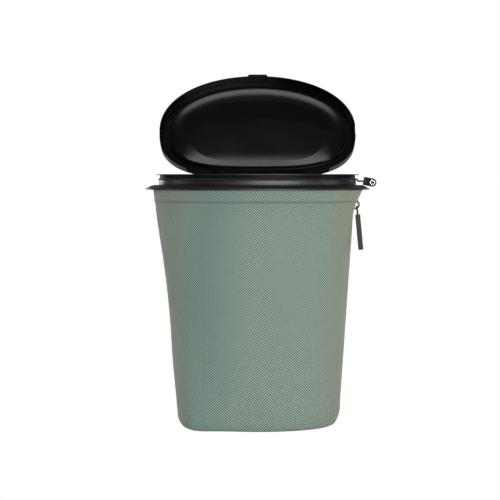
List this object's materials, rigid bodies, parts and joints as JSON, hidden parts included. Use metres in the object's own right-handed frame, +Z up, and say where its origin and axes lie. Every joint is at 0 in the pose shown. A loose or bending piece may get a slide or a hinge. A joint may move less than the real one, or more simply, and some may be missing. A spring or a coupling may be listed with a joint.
{
  "type": "litter disposal pail",
  "caption": "D-shaped litter disposal pail with a hinged lid, a moulded collar, a zipped fabric cover and an inner liner.",
  "frame": {"origin": "centre of the base on the floor, under the widest line of the collar", "axes": "+Z up, +Y towards the hinge at the back, +X to the right seen from the front"},
  "size_m": [0.2601, 0.2029, 0.4031],
  "materials": {
    "moulding": "satin black moulding",
    "pin": "satin",
    "elastic": "matt",
    "liner_film": "matt coated fabric",
    "cover_cloth": "woven sage green",
    "base_board": "matt",
    "zip_tape": "woven",
    "zip_teeth": "satin",
    "slider_metal": "satin black",
    "grip": "matt grey",
    "grip_tab": "satin",
    "stud_metal": "polished"
  },
  "bodies": {
    "body": {"collar_ring": "moulding", "flange_ring": "moulding", "hinge_pin_left": "pin", "hinge_pin_right": "pin", "bag_elastic": "elastic", "liner": "liner_film", "cover_hem": "cover_cloth", "cover_front": "cover_cloth", "cover_back": "cover_cloth", "base_panel": "base_board", "zip_tape_front": "zip_tape", "zip_tape_rear": "zip_tape", "zip_teeth_front": "zip_teeth", "zip_teeth_rear": "zip_teeth", "zip_top_stop_front": "zip_teeth", "zip_top_stop_rear": "zip_teeth", "zip_bottom_stop": "zip_teeth", "zip_end_tab": "zip_tape"},
    "lid": {"lid": "moulding", "lid_inner_panel": "moulding"},
    "slider": {"zip_slider": "slider_metal"},
    "pull": {"pull_cord": "elastic", "pull_grip": "grip"},
    "tab": {"elastic_tab": "grip_tab", "tab_stud_ring": "stud_metal", "tab_stud_cap": "moulding"}
  },
  "joints": [
    {"name": "lid_hinge", "type": "hinge", "parent": "body", "child": "lid", "pos_m": [0, 0.062, 0.279], "axis": [1, 0, 0], "range_deg": [0, 113]},
    {"name": "zip_slide", "type": "slide", "parent": "body", "child": "slider", "axis": [-0.0652, 0, -0.9979], "range_m": [0, 0.198], "deforming": ["zip_teeth_front", "zip_teeth_rear"]},
    {"name": "pull_swing", "type": "hinge", "parent": "slider", "child": "pull", "pos_m": [0.11206, -0.003, 0.24846], "axis": [0, -1, 0], "range_deg": [0, 120]},
    {"name": "tab_swing", "type": "hinge", "parent": "body", "child": "tab", "pos_m": [0.1214, 0, 0.2771], "axis": [0, -1, 0], "range_deg": [0, 45]}
  ]
}
